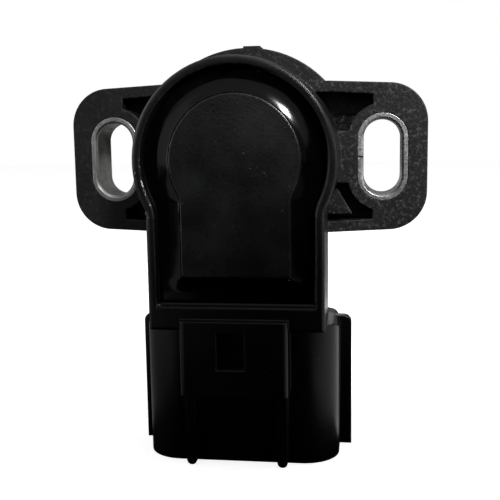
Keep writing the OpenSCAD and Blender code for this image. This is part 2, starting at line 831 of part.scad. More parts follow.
module return_spring() {
    sides = 8;
    coil = coil_points();
    last = coil[len(coil) - 1];
    path = concat(
        [[chamber_r + 0.8, spring_r, spring_back + wire_d / 2]],
        coil,
        [[last[0], last[1], last[2] + wire_d], [last[0], last[1], disc_back + disc_t * 0.4]]
    );
    rings = [
        for (i = [0 : len(path) - 1])
            let (
                a = path[max(i - 1, 0)],
                b = path[min(i + 1, len(path) - 1)],
                along = (b - a) / norm(b - a),
                flat = cross(along, [0, 0, 1]),
                across = norm(flat) > 0.2 ? flat / norm(flat) : [last[0], last[1], 0] / spring_r,
                up = cross(across, along)
            )
                for (k = [0 : sides - 1])
                    path[i] + wire_d / 2 * (cos(k * 360 / sides) * across + sin(k * 360 / sides) * up)
    ];
    faces = concat(
        [[for (k = [0 : sides - 1]) k]],
        [
            for (i = [0 : len(path) - 2], k = [0 : sides - 1])
                [
                    i * sides + k,
                    (i + 1) * sides + k,
                    (i + 1) * sides + (k + 1) % sides,
                    i * sides + (k + 1) % sides
                ]
        ],
        [[for (k = [sides - 1 : -1 : 0]) (len(path) - 1) * sides + k]]
    );
    color(steel) on_face() polyhedron(points = rings, faces = faces);
}

module thrust_washer() {
    color([0.75, 0.72, 0.6]) on_face() translate([0, 0, floor_front]) difference() {
        cylinder(h = washer_t, r = shoulder_r1);
        translate([0, 0, -over]) cylinder(h = washer_t + 2 * over, r = bearing_r);
    }
}

module shaft_seal() {
    color([0.13, 0.12, 0.12]) on_face() translate([0, 0, seal_back]) difference() {
        cylinder(h = seal_l, r = seal_r);
        translate([0, 0, -over]) cylinder(h = seal_l + 2 * over, r = bearing_r);
    }
}

module o_ring() {
    color([0.1, 0.1, 0.1]) on_face() translate([0, 0, -groove_at - groove_w / 2])
        rotate_extrude() translate([spigot_r - groove_d + oring_d / 2, 0]) circle(d = oring_d);
}

housing();
bushing_left();
bushing_right();
cover_plate();
potting();
element_board();
resistor_track();
collector_track();
conductor_traces();
pin_supply();
pin_signal();
pin_ground();
solder_joints();
rotor();
wiper();
return_spring();
thrust_washer();
shaft_seal();
o_ring();
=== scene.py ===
import math

import bpy
import numpy as np
from bpy.props import FloatProperty, FloatVectorProperty, IntProperty, PointerProperty
from bpy.types import Operator, Panel, PropertyGroup
from mathutils import Matrix, Vector


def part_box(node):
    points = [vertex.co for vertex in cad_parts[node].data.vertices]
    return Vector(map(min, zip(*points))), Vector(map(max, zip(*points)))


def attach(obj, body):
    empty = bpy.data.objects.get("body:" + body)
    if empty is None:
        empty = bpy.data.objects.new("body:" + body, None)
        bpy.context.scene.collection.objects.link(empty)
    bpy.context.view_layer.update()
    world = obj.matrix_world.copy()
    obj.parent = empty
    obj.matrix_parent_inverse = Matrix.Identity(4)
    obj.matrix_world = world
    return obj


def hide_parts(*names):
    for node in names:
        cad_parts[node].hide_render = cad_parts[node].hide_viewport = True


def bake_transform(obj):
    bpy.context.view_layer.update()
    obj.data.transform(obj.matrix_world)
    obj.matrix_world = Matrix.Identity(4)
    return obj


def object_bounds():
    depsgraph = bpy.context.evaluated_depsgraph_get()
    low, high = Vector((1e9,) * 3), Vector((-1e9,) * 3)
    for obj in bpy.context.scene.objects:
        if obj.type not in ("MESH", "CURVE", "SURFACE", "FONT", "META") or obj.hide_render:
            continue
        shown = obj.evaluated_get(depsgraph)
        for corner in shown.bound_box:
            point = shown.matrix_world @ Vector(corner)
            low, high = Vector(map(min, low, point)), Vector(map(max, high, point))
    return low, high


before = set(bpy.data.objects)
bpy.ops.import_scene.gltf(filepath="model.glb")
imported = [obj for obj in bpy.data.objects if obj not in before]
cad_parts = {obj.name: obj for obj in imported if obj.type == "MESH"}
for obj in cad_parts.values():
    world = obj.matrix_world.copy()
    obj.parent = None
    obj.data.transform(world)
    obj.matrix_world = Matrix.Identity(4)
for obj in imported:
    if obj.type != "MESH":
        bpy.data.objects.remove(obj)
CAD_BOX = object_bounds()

bl_info = {
    "name": "Throttle Position Sensor",
    "version": (1, 0, 0),
    "blender": (4, 5, 0),
    "location": "View3D > Sidebar > Sensor",
    "description": "Finishes, resin, seals and studio for a throttle position sensor",
    "category": "Object",
}

MM = 0.001

# Outlines of the moat and of the cover plate in plan, in millimetres round the rotor's axis
MOAT = {"r": 12.35, "half": 10.65, "drop": 19.3, "neck": 6.15}
PLATE = {"r": 8.9, "half": 7.5, "drop": 15.6, "neck": 3.0}

# Small drops on the resin: place in plan, width and height, in millimetres
DROPS = ((8.6, 5.1, 0.13, 0.08), (-9.8, -3.4, 0.14, 0.06), (5.1, 10.0, 0.12, 0.06),
         (9.8, -8.2, 0.14, 0.05))

# Nibs in the resin's skin that catch the key light: places in plan, and the radius and the depth
# of bump that they share, in millimetres
NIBS = ((3.51, 11.42), (7.15, -15.9))
NIB_RADIUS, NIB_DEPTH = 0.32, 0.24

# Zones of the housing, in millimetres: where each begins and where it is full. Y falls towards
# the cover side, and Z is 0 at the rotor's axis.
FLANGE_Y = (-7.2, -6.8)
RIM_Y, RIM_Z = (-17.2, -17.7), (-20.5, -19.5)
# Along X the flange's scuffs and pale grain grow from a quarter to full: painted light from the key
# lamp at the right, over real scuffs
LIT_RIGHT_X = (-5.0, 16.0)
NICKS_X, NICKS_Y, NICKS_MIDDLE_Z, NICKS_REACH_Z = (-8.5, -9.5), (-17.6, -18.2), -4.0, (5.0, 4.0)
RIM_EXTRA_RADIUS = 0.24

# Zones of the painted shade in the liners' bores, in millimetres: how far behind the front, and how
# high
BORE_SHADE_Y, BORE_SHADE_Z = (0.1, 0.4), (-2.5, 1.5)

LINT_COLOUR = (0.32, 0.33, 0.33, 1.0)
NICK_COLOUR = (0.75, 0.75, 0.72, 1.0)
# Colour of the painted shade inside the liners' bores
BORE_SHADE_COLOUR = (0.012, 0.011, 0.009, 1.0)
WHITE = (1.0, 1.0, 1.0, 1.0)

# Lamps: width and height, place in metres, and the setting that holds the power
LAMPS = {
    "key_softbox": ((0.055, 0.055), (0.135, -0.235, 0.165), "key"),
    "right_strip": ((0.05, 0.22), (0.26, -0.03, 0.0), "right"),
    "left_strip": ((0.05, 0.22), (-0.26, -0.09, 0.0), "left"),
    "top_box": ((0.2, 0.2), (0.03, 0.02, 0.3), "top"),
}

# Screen that keeps the key light off the lower half of the object: both ends in plan, and its
# top, in metres
GOBO_LEFT, GOBO_RIGHT, GOBO_TOP = (-0.2, -0.06), (0.3, -0.06), 0.0225

# Camera, fitted to the outlines in the photograph: place in metres, yaw, pitch and roll in
# radians, and the focal length in pixels of a frame of that many pixels
CAMERA_PLACE = (0.016703, -0.12324, 0.003275)
CAMERA_YAW, CAMERA_PITCH, CAMERA_ROLL = 0.139, -0.14, 0.015
FOCAL_PIXELS, FRAME_PIXELS = 814.76, 500
SENSOR_WIDTH = 36.0

# Studio floor: half its width in metres, and the glow that makes it white to the camera
FLOOR_HALF, FLOOR_GLOW = 1.2, 0.88


def srgb(hexa):
    """A hex colour as scene-linear RGBA, by the sRGB curve.

    Each channel c becomes ((c + 0.055) / 1.055) ** 2.4 above 0.04045, and c / 12.92 below.
    """
    c = np.array([int(hexa[i:i + 2], 16) for i in (0, 2, 4)]) / 255
    linear = np.where(c > 0.04045, ((c + 0.055) / 1.055) ** 2.4, c / 12.92)
    return (*linear.tolist(), 1.0)


# Settings


class SensorPlasticSettings(PropertyGroup):
    housing: FloatVectorProperty(
        name="Housing", description="Colour of the moulded housing",
        subtype="COLOR", size=4, min=0, max=1, default=srgb("040404"))
    cover: FloatVectorProperty(
        name="Cover plate", description="Colour of the cover plate",
        subtype="COLOR", size=4, min=0, max=1, default=srgb("010201"))
    worn: FloatVectorProperty(
        name="Rubbed plastic", description="Colour that the plastic takes where it is rubbed",
        subtype="COLOR", size=4, min=0, max=1, default=srgb("4a4b4b"))
    grain: FloatProperty(
        name="Grain", description="Depth of the spark-eroded grain",
        unit="LENGTH", default=0.045 * MM)
    edge: FloatProperty(
        name="Edge radius", description="Radius that the housing's moulded edges show",
        unit="LENGTH", default=0.3 * MM)
    cover_edge: FloatProperty(
        name="Cover edge radius", description="Radius that the cover plate's edges show",
        unit="LENGTH", default=0.22 * MM)


class SensorResinSettings(PropertyGroup):
    colour: FloatVectorProperty(
        name="Resin", description="Colour of the cast resin",
        subtype="COLOR", size=4, min=0, max=1, default=srgb("010101"))
    floor: FloatProperty(
        name="Moat floor", description="Level of the moat's floor in front of the mounting face",
        unit="LENGTH", default=13.0 * MM)
    level: FloatProperty(
        name="Level", description="Level of the resin in front of the mounting face",
        unit="LENGTH", default=17.22 * MM)
    climb: FloatProperty(
        name="Climb at the plate", description="How far the resin climbs up the cover plate's edge",
        unit="LENGTH", default=0.52 * MM)
    reach: FloatProperty(
        name="Reach at the plate",
        description="Distance from the plate where the resin is level again",
        unit="LENGTH", default=2.0 * MM)
    wall_climb: FloatProperty(
        name="Climb at the rim", description="How far the resin climbs up the rim's inner wall",
        unit="LENGTH", default=0.12 * MM)
    wall_reach: FloatProperty(
        name="Reach at the rim", description="Distance over which that climb falls to a third",
        unit="LENGTH", default=0.16 * MM)
    steps: IntProperty(
        name="Steps", description="Points along each part of the outline",
        default=40, min=8, max=120)


class SensorMetalSettings(PropertyGroup):
    liner: FloatVectorProperty(
        name="Slot liners", description="Colour of the rolled steel liners",
        subtype="COLOR", size=4, min=0, max=1, default=srgb("949492"))
    terminal: FloatVectorProperty(
        name="Terminals", description="Colour of the tinned terminals",
        subtype="COLOR", size=4, min=0, max=1, default=srgb("c9c5bb"))
    spring: FloatVectorProperty(
        name="Spring", description="Colour of the spring wire",
        subtype="COLOR", size=4, min=0, max=1, default=srgb("a6a6a6"))
    wiper: FloatVectorProperty(
        name="Wiper", description="Colour of the wiper's bronze",
        subtype="COLOR", size=4, min=0, max=1, default=srgb("d9a35c"))


class SensorSealSettings(PropertyGroup):
    rubber: FloatVectorProperty(
        name="Rubber", description="Colour of seal and O-ring",
        subtype="COLOR", size=4, min=0, max=1, default=srgb("141414"))
    seal_out: FloatProperty(
        name="Seal radius", description="Outer radius of the shaft seal",
        unit="LENGTH", default=6.38 * MM)
    seal_in: FloatProperty(
        name="Lip radius", description="Radius of the seal's lip",
        unit="LENGTH", default=4.66 * MM)
    seal_front: FloatProperty(
        name="Seal front", description="Level of the seal's front face",
        unit="LENGTH", default=0.79 * MM)
    seal_length: FloatProperty(
        name="Seal length", description="Length of the shaft seal",
        unit="LENGTH", default=1.98 * MM)
    ring_at: FloatProperty(
        name="O-ring place", description="Distance of the O-ring's middle from the mounting face",
        unit="LENGTH", default=2.375 * MM)
    ring_floor: FloatProperty(
        name="Groove floor", description="Radius of the O-ring groove's floor",
        unit="LENGTH", default=8.9 * MM)
    ring_cord: FloatProperty(
        name="O-ring cord", description="Free thickness of the O-ring",
        unit="LENGTH", default=1.86 * MM)


class SensorStageSettings(PropertyGroup):
    key: FloatProperty(
        name="Key light", description="Power of the softbox at the upper right",
        default=2.2, min=0)
    right: FloatProperty(
        name="Right strip", description="Power of the strip at the right", default=0.2, min=0)
    left: FloatProperty(
        name="Left strip", description="Power of the strip at the left", default=0.2, min=0)
    top: FloatProperty(
        name="Top light", description="Power of the light above", default=0.25, min=0)
    upper_card: FloatProperty(
        name="Upper card", description="Tone of the card above the camera", default=0.75, min=0)
    left_card: FloatProperty(
        name="Left card", description="Tone of the cards at the left", default=1.2, min=0)
    right_card: FloatProperty(
        name="Right card", description="Tone of the cards at the right", default=0.2, min=0)
    low_left_card: FloatProperty(
        name="Low left card", description="Tone of the card on the floor at the left",
        default=0.2, min=0)
    low_right_card: FloatProperty(
        name="Low right card", description="Tone of the card on the floor at the right",
        default=1.0, min=0)
    ambient: FloatProperty(
        name="Ambient", description="Strength of the room's light", default=0.1, min=0)
    floor: FloatVectorProperty(
        name="Floor", description="Colour of the floor",
        subtype="COLOR", size=4, min=0, max=1, default=(0.9, 0.9, 0.9, 1.0))


# Shader helpers


class Wires:
    """Short calls for adding nodes to a tree and joining them."""

    def __init__(self, tree):
        self.tree = tree

    def add(self, kind, settings=None, **sockets):
        """Adds a node. A plain value is set on its socket, and another node's result is linked.

        A socket goes by its name with underscores for spaces, or by s and its number.
        """
        node = self.tree.nodes.new(kind)
        for key, value in (settings or {}).items():
            setattr(node, key, value)
        for key, value in sockets.items():
            number = key[1:]
            socket = node.inputs[int(number) if number.isdigit() else key.replace("_", " ")]
            if isinstance(value, bpy.types.NodeSocket):
                self.tree.links.new(value, socket)
            else:
                socket.default_value = value
        return node

    def math(self, operation, a, b=0.0, clamp=False):
        settings = {"operation": operation, "use_clamp": clamp}
        return self.add("ShaderNodeMath", settings, s0=a, s1=b).outputs[0]

    def plus(self, first, *others):
        for other in others:
            first = self.math("ADD", first, other)
        return first

    def times(self, first, *others):
        for other in others:
            first = self.math("MULTIPLY", first, other)
        return first

    def vector(self, operation, a, b, result="Vector"):
        settings = {"operation": operation}
        return self.add("ShaderNodeVectorMath", settings, s0=a, s1=b).outputs[result]

    def range(self, value, low, high, to_low=0.0, to_high=1.0):
        """value between low and high, mapped to to_low and to_high, and held there outside."""
        node = self.add("ShaderNodeMapRange", None, Value=value, s1=low, s2=high, s3=to_low,
                        s4=to_high)
        return node.outputs[0]

    def zone(self, place, begins, full, **levels):
        """0 up to the coordinate begins and 1 from full on, both in millimetres."""
        return self.range(place, begins * MM, full * MM, **levels)

    def mix(self, factor, a, b):
        node = self.add("ShaderNodeMix", {"data_type": "RGBA"}, s0=factor, s6=a, s7=b)
        return node.outputs[2]

    def place(self):
        """The point on the object, in metres."""
        return self.add("ShaderNodeTexCoord").outputs["Object"]

    def coordinates(self):
        return self.add("ShaderNodeSeparateXYZ", None, Vector=self.place()).outputs

    def noise(self, place, scale, detail=2.0, roughness=0.5):
        node = self.add("ShaderNodeTexNoise", None, Vector=place, Scale=scale, Detail=detail,
                        Roughness=roughness)
        return node.outputs["Fac"]

    def rounded(self, radius, samples):
        """The normal with edges rounded over a radius."""
        node = self.add("ShaderNodeBevel", {"samples": samples}, Radius=radius)
        return node.outputs["Normal"]

    def bump(self, height, distance, strength=1.0, **normal):
        node = self.add("ShaderNodeBump", None, Strength=strength, Distance=distance,
                        Height=height, **normal)
        return node.outputs["Normal"]

    def shared(self, name, **sockets):
        """Results of the shared node group of that name, which is built when first asked for."""
        group = bpy.data.node_groups.get(name) or GROUPS[name](name)
        return self.add("ShaderNodeGroup", {"node_tree": group}, **sockets).outputs


def new_group(name, inputs, outputs):
    """A new shader node group whose sockets are numbers, its wires and what enters it.

    inputs gives each input's default, and outputs lists the results.
    """
    group = bpy.data.node_groups.new(name, "ShaderNodeTree")
    kind = "NodeSocketFloat"
    for label, value in inputs.items():
        socket = group.interface.new_socket(name=label, in_out="INPUT", socket_type=kind)
        socket.default_value = value
    for label in outputs:
        group.interface.new_socket(name=label, in_out="OUTPUT", socket_type=kind)
    w = Wires(group)
    return group, w, w.add("NodeGroupInput").outputs


def grain_group(name):
    """Spark-eroded grain: the height is 0.6 of a fine noise and 0.4 of the distance in cells.

    Speckle is the fine noise's peaks, and Clouds a slow noise for patches.
    """
    inputs = {"Fine Scale": 3200.0, "Pit Scale": 1700.0, "Cloud Scale": 160.0}
    group, w, given = new_group(name, inputs, ("Height", "Speckle", "Clouds"))
    place = w.place()
    fine = w.noise(place, given["Fine Scale"], 3.0, 0.62)
    pits = w.add("ShaderNodeTexVoronoi", None, Vector=place, Scale=given["Pit Scale"],
                 Randomness=0.95).outputs["Distance"]
    clouds = w.noise(place, given["Cloud Scale"], 4.0, 0.6)
    w.add("NodeGroupOutput", None, Height=w.plus(w.times(fine, 0.6), w.times(pits, 0.4)),
          Speckle=w.range(fine, 0.58, 0.74), Clouds=w.range(clouds, 0.32, 0.7))
    return group


def edge_group(name):
    """Edge wear: Edge is 1 where a normal rounded over the radius leaves the true one.

    Mask is the same, broken up by noise.
    """
    inputs = {"Radius": 0.3 * MM, "Break Scale": 900.0}
    group, w, given = new_group(name, inputs, ("Mask", "Edge"))
    true = w.add("ShaderNodeNewGeometry").outputs["Normal"]
    turn = w.vector("DOT_PRODUCT", w.rounded(given["Radius"], 6), true, "Value")
    edge = w.range(turn, 0.97, 0.8)
    breaks = w.range(w.noise(w.place(), given["Break Scale"], 4.0, 0.7), 0.5, 0.66)
    w.add("NodeGroupOutput", None, Mask=w.math("MULTIPLY", edge, breaks, clamp=True), Edge=edge)
    return group


def lint_group(name):
    """Lint: specks where a fine noise passes its threshold, in drifts set by a slow noise."""
    inputs = {"Speck Scale": 2300.0, "Amount": 0.5}
    group, w, given = new_group(name, inputs, ("Mask",))
    place = w.place()
    specks = w.range(w.noise(place, given["Speck Scale"], 1.0, 0.4), 0.72, 0.78)
    drifts = w.range(w.noise(place, 220.0), 0.45, 0.65)
    mask = w.math("MULTIPLY", w.times(specks, drifts), given["Amount"], clamp=True)
    w.add("NodeGroupOutput", None, Mask=mask)
    return group


def drawn_group(name):
    """Drawn metal: streaks along Y, because the noise is stretched along it, and tarnish."""
    inputs = {"Streak Scale": 2600.0, "Stretch": 0.06}
    group, w, given = new_group(name, inputs, ("Streaks", "Tarnish"))
    place = w.place()
    squeeze = w.add("ShaderNodeCombineXYZ", None, X=1.0, Y=given["Stretch"], Z=1.0).outputs[0]
    streaks = w.noise(w.vector("MULTIPLY", place, squeeze), given["Streak Scale"], 3.0, 0.6)
    tarnish = w.noise(place, 330.0, 4.0, 0.65)
    w.add("NodeGroupOutput", None, Streaks=w.range(streaks, 0.3, 0.7),
          Tarnish=w.range(tarnish, 0.35, 0.68))
    return group


GROUPS = {"Moulded Grain": grain_group, "Edge Rub": edge_group, "Lint": lint_group,
          "Drawn Metal": drawn_group}


def new_material(name):
    """A new material with no nodes yet, and its wires."""
    material = bpy.data.materials.new(name)
    material.use_nodes = True
    material.node_tree.nodes.clear()
    return material, Wires(material.node_tree)


def principled(w, **sockets):
    """Ends a material with a Principled shader."""
    shader = w.add("ShaderNodeBsdfPrincipled", None, **sockets)
    w.add("ShaderNodeOutputMaterial", None, Surface=shader.outputs[0])


def scaled(colour, factor):
    """A colour with its channels multiplied, up to 1."""
    return [min(1.0, factor * c) for c in colour[:3]] + [1.0]


# Materials


def housing_wear_and_light(w, base, worn, flange, grain_height, edge):
    """The housing's base colour with scuffs, nicks and a pale grain mixed in.

    One noise makes scuffs on the flange where it passes 0.52 to 0.68, and nicks on the edge of the
    rim's left side where it passes 0.61 to 0.64. Scuffs and pale grain grow towards the right ear
    as painted light from the key lamp at the right, laid over the real scuffs.
    """
    x, y, z = w.coordinates()
    noise = w.noise(w.place(), 1500.0, 4.0, 0.68)
    # Painted light: the flange grows paler towards the right ear, where the key lamp falls
    lit_right = w.zone(x, *LIT_RIGHT_X, to_low=0.25)
    scuffs = w.times(w.range(noise, 0.52, 0.68), flange, lit_right)
    base = w.mix(w.times(scuffs, 0.42), base, worn)
    off = w.math("ABSOLUTE", w.plus(z, -NICKS_MIDDLE_Z * MM))
    nicks = w.times(w.range(noise, 0.61, 0.64), w.zone(y, *NICKS_Y), w.zone(x, *NICKS_X),
                    w.zone(off, *NICKS_REACH_Z), edge)
    base = w.mix(nicks, base, NICK_COLOUR)
    return w.mix(w.times(flange, grain_height, lit_right, 0.012), base, worn)


def plastic(name, colour, worn, edge, grain, rough, specular, rub=0.5, fine=3200.0, pit=1700.0,
            lint=0.0, tone=0.35, coarse=0.0, ior=1.27):
    """Moulded plastic: mottled colour, pitted grain, rounded edges rubbed lighter, and lint.

    With coarse it is the housing's: the flange is rougher by that much, more deeply grained
    and worn, paler towards the right ear as painted light, and the rim's edges are rounder.
    """
    material, w = new_material(name)
    grained = w.shared("Moulded Grain", Fine_Scale=fine, Pit_Scale=pit)
    edges = w.shared("Edge Rub", Radius=1.6 * edge)
    height, radius = grained["Height"], edge
    base = w.mix(w.times(grained["Clouds"], tone), colour, scaled(colour, 2.2))
    base = w.mix(w.times(edges["Mask"], rub), base, worn)
    if lint:
        base = w.mix(w.shared("Lint", Amount=lint)["Mask"], base, LINT_COLOUR)
    smoother = w.math("SUBTRACT", rough, w.times(grained["Speckle"], 0.06))
    roughness = w.plus(w.times(grained["Clouds"], 0.08), smoother)
    if coarse:
        _, y, z = w.coordinates()
        rim = w.times(w.zone(y, *RIM_Y), w.zone(z, *RIM_Z))
        radius = w.plus(w.times(rim, RIM_EXTRA_RADIUS * MM), edge)
        flange = w.zone(y, *FLANGE_Y)
        base = housing_wear_and_light(w, base, worn, flange, height, edges["Edge"])
        roughness = w.plus(roughness, w.times(flange, coarse))
        height = w.times(height, w.range(flange, 0.0, 1.0, 0.12, 1.0))
    principled(w, Base_Color=base, Roughness=roughness, IOR=ior, Specular_IOR_Level=specular,
               Normal=w.bump(height, grain, Normal=w.rounded(radius, 6)))
    return material


def metal(name, colour, rough, edge=0.08 * MM, stain=0.5, pits=0.0, shaded_bore_front=None):
    """Drawn or rolled metal: streaks in roughness and height, tarnish in patches, and pits.

    shaded_bore_front is the level of a bore's front, in metres. Behind it the bore gets painted
    shade: darker, rougher and less metallic, more so towards its top.
    """
    material, w = new_material(name)
    drawn = w.shared("Drawn Metal")
    height, metallic = drawn["Streaks"], 1.0
    base = w.mix(w.times(drawn["Tarnish"], stain), colour, scaled(colour, 0.42))
    roughness = w.plus(w.times(height, 0.16), rough)
    if shaded_bore_front:
        _, y, z = w.coordinates()
        # Painted shade inside the bore: darker, duller and less metallic, more so towards its top
        inside = w.zone(y, *(v - shaded_bore_front / MM for v in BORE_SHADE_Y))
        high = w.plus(w.zone(z, *BORE_SHADE_Z, to_low=0.4), w.times(drawn["Tarnish"], 0.15))
        bore_shade = w.math("MULTIPLY", inside, high, clamp=True)
        base = w.mix(bore_shade, base, BORE_SHADE_COLOUR)
        metallic = w.math("SUBTRACT", 1.0, w.times(bore_shade, 0.95))
        roughness = w.plus(roughness, w.times(bore_shade, 0.25))
    if pits:
        grained = w.shared("Moulded Grain", Fine_Scale=1900.0, Pit_Scale=1300.0)
        height = w.plus(height, w.times(grained["Height"], pits))
        roughness = w.plus(roughness, w.times(grained["Speckle"], 0.2))
    normal = w.bump(height, 0.008 * MM, 0.5, Normal=w.rounded(edge, 4))
    principled(w, Base_Color=base, Metallic=metallic, Specular_IOR_Level=0.12,
               Roughness=roughness, Normal=normal)
    return material


def resin(name, colour):
    """Cast resin: near-black gloss with slow waves in its skin and a few nibs."""
    material, w = new_material(name)
    place = w.place()
    waves = w.noise(place, 260.0, 2.0, 0.45)
    fine = w.noise(place, 2400.0)
    skin = w.bump(w.plus(waves, w.times(fine, 0.04)), 0.12 * MM, 0.35)
    flat = w.vector("MULTIPLY", place, (1.0, 0.0, 1.0))
    domes = []
    for x, z in NIBS:
        far = w.vector("DISTANCE", flat, (x * MM, 0.0, z * MM), "Value")
        domes.append(w.add("ShaderNodeMapRange", {"interpolation_type": "SMOOTHSTEP"},
                           Value=far, s1=NIB_RADIUS * MM, s2=0.0).outputs[0])
    principled(w, Base_Color=w.mix(w.range(fine, 0.45, 0.7), colour, scaled(colour, 1.8)),
               Roughness=w.range(waves, 0.3, 0.7, 0.1, 0.17), Specular_IOR_Level=0.14,
               Normal=w.bump(w.plus(*domes), NIB_DEPTH * MM, Normal=skin))
    return material


def rubber(name, colour):
    """Moulded rubber: dull, with bloom in patches and a fine skin."""
    material, w = new_material(name)
    grained = w.shared("Moulded Grain", Fine_Scale=2600.0, Pit_Scale=2100.0)
    principled(w, Base_Color=w.mix(w.times(grained["Clouds"], 0.5), colour, scaled(colour, 2.5)),
               Roughness=w.range(grained["Clouds"], 0.0, 1.0, 0.5, 0.66),
               Specular_IOR_Level=0.3, Normal=w.bump(grained["Height"], 0.01 * MM, 0.6))
    return material


def paint(material, *names):
    """Gives CAD nodes a material."""
    for name in names:
        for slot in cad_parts[name].material_slots:
            slot.material = material


# Surfaces worked out with numpy


def mesh_piece(name, points, faces, material, body, replaced, slot, smooth_angle=None):
    """Puts points (n, 3) and quads (m, 4) into a piece whose faces point outwards.

    The signed volume is the sum over faces of a . (b x c) / 6 for both triangles of each quad;
    where it is negative the faces are turned round. body is None for a piece that is attached to
    no body.
    """
    a, b, c, d = (points[faces[:, i]] for i in range(4))
    crossed = np.cross(b, c), np.cross(c, d)
    volume = sum(np.einsum("ij,ij->i", a, side) for side in crossed).sum() / 6
    if volume < 0:
        faces = faces[:, ::-1]
    mesh = bpy.data.meshes.new(name)
    mesh.vertices.add(len(points))
    mesh.vertices.foreach_set("co", points.astype(np.float32).ravel())
    mesh.loops.add(faces.size)
    mesh.loops.foreach_set("vertex_index", faces.astype(np.int32).ravel())
    mesh.polygons.add(len(faces))
    mesh.polygons.foreach_set("loop_start", np.arange(0, faces.size, 4, dtype=np.int32))
    mesh.polygons.foreach_set("use_smooth", np.ones(len(faces), bool))
    mesh.update(calc_edges=True)
    mesh.validate()
    if smooth_angle:
        mesh.set_sharp_from_angle(angle=smooth_angle)
    mesh.materials.append(material)
    piece = bpy.data.objects.new(name, mesh)
    bpy.context.scene.collection.objects.link(piece)
    if body:
        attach(piece, body)
    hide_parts(*replaced)
    return piece


def wrapped_quads(rows, columns, close_rows=True):
    """Quads of a grid whose columns close on themselves, and its rows too if asked."""
    i = np.arange(rows if close_rows else rows - 1)[:, None]
    j = np.arange(columns)[None, :]
    n, m = (i + 1) % rows, (j + 1) % columns
    corners = [i * columns + j, n * columns + j, n * columns + m, i * columns + m]
    return np.stack(corners, -1).reshape(-1, 4)


def on_face(x, z, level):
    """Points of the object from plan coordinates and levels in front of the mounting face.

    Each is (x, -level, z).
    """
    x, z, level = np.broadcast_arrays(x, z, level)
    return np.stack([x, -level, z], -1)


def keyhole(r, half, drop, neck, steps):
    """A keyhole outline, clockwise from its top as seen from the cover side, in millimetres.

    The fillet's centre is (half + neck, -y) with y = sqrt((r + neck)^2 - (half + neck)^2). The
    head's arc runs from the top to the line through that centre, the fillet from there to the
    stem, then come stem and foot, each in steps points, and the left side mirrors the right.
    """
    fx = half + neck
    fy = math.sqrt((r + neck) ** 2 - fx ** 2)
    t = np.arange(steps) / steps
    last = math.atan2(-fy, fx)
    a = math.pi / 2 + (last - math.pi / 2) * t
    b = math.pi + last * (1 - t)
    arc = np.stack([r * np.cos(a), r * np.sin(a)], -1)
    fillet = np.stack([fx + neck * np.cos(b), -fy + neck * np.sin(b)], -1)
    stem = np.stack([np.full(steps, half), -fy - (drop - fy) * t], -1)
    foot = np.stack([half * (1 - t), np.full(steps, -drop)], -1)
    right = np.concatenate([arc, fillet, stem, foot])
    left = np.concatenate([[[0.0, -drop]], right[:0:-1] * [-1, 1]])
    return np.concatenate([right, left])


def distance_to(loop, points):
    """Distance from each point to a closed outline.

    It is the least |p - a - h (b - a)| over the sides a to b, where
    h = (p - a) . (b - a) / |b - a|^2, held between 0 and 1.
    """
    side = np.roll(loop, -1, 0) - loop
    off = points[:, None] - loop
    h = np.clip((off * side).sum(-1) / np.maximum((side ** 2).sum(-1), 1e-12), 0, 1)
    return np.linalg.norm(off - h[..., None] * side, axis=-1).min(1)


def pool_height(plan, inner, outer, settings):
    """Level of the resin over points of the plan, in millimetres.

    It is level + climb (1 - d / reach)^2 where d < reach, + wall_climb e^(-e / wall_reach),
    where d and e are the distances from plate and rim. Reach and climb waver by sines of the
    angle round the axis, and the reach is narrowest near the top, by e^(-((angle - 95) / 34)^2)
    with the angle in degrees.
    """
    angle = np.arctan2(plan[:, 1], plan[:, 0])
    waver = 1 + 0.05 * np.sin(3 * angle + 0.7) + 0.03 * np.sin(7 * angle + 2.0)
    top = np.exp(-((angle - math.radians(95)) / 0.6) ** 2)
    reach = settings.reach / MM * (waver - 0.12 * top)
    climb = settings.climb / MM * (1 + 0.02 * np.sin(5 * angle + 1.1))
    near = climb * np.maximum(0.0, 1 - distance_to(inner, plan) / reach) ** 2
    rise = settings.wall_climb / MM
    wall = rise * np.exp(-distance_to(outer, plan) / (settings.wall_reach / MM))
    return settings.level / MM + near + wall


def resin_surface(settings, across=44):
    """The resin as a closed band: up the plate, over the pool, down the rim, along the floor.

    The pool is inner + t (outer - inner) in plan at pool_height, plus
    height e^(-(distance / width)^2) for each drop, and t runs as (1 - cos(pi u)) / 2 so that
    the points crowd at both edges. across is the number of points from plate to rim.
    """
    inner = keyhole(**PLATE, steps=settings.steps)
    outer = keyhole(**MOAT, steps=settings.steps)
    u = np.linspace(0, 1, across)
    t = ((1 - np.cos(math.pi * u)) / 2)[None, :]
    plan = inner[:, None, :] + t[..., None] * (outer - inner)[:, None, :]
    level = pool_height(plan.reshape(-1, 2), inner, outer, settings).reshape(plan.shape[:2])
    for x, z, width, height in DROPS:
        away = (plan[..., 0] - x) ** 2 + (plan[..., 1] - z) ** 2
        level = level + height * np.exp(-away / width ** 2)
    low = settings.floor / MM
    down = level[:, -1:] + (low - level[:, -1:]) * np.array([0.4, 0.8, 1.0])
    back = np.full((len(inner), 3), low)
    up = low + (level[:, :1] - low) * np.array([0.4, 0.8])
    levels = np.concatenate([level, down, back, up], 1)
    share = np.concatenate([t[0], [1, 1, 1], [0.66, 0.33, 0], [0, 0]])[None, :, None]
    around = inner[:, None, :] + share * (outer - inner)[:, None, :]
    points = on_face(around[..., 0], around[..., 1], levels) * MM
    return points.reshape(-1, 3), wrapped_quads(len(inner), levels.shape[1])


def revolved(profile, steps):
    """A closed profile of (radius, level) turned about the rotor's axis, in metres.

    Each point is (r cos a, -level, r sin a).
    """
    a = (np.arange(steps) * 2 * math.pi / steps)[:, None]
    r, level = profile[None, :, 0], profile[None, :, 1]
    points = on_face(r * np.cos(a), r * np.sin(a), level)
    return points.reshape(-1, 3), wrapped_quads(steps, len(profile))


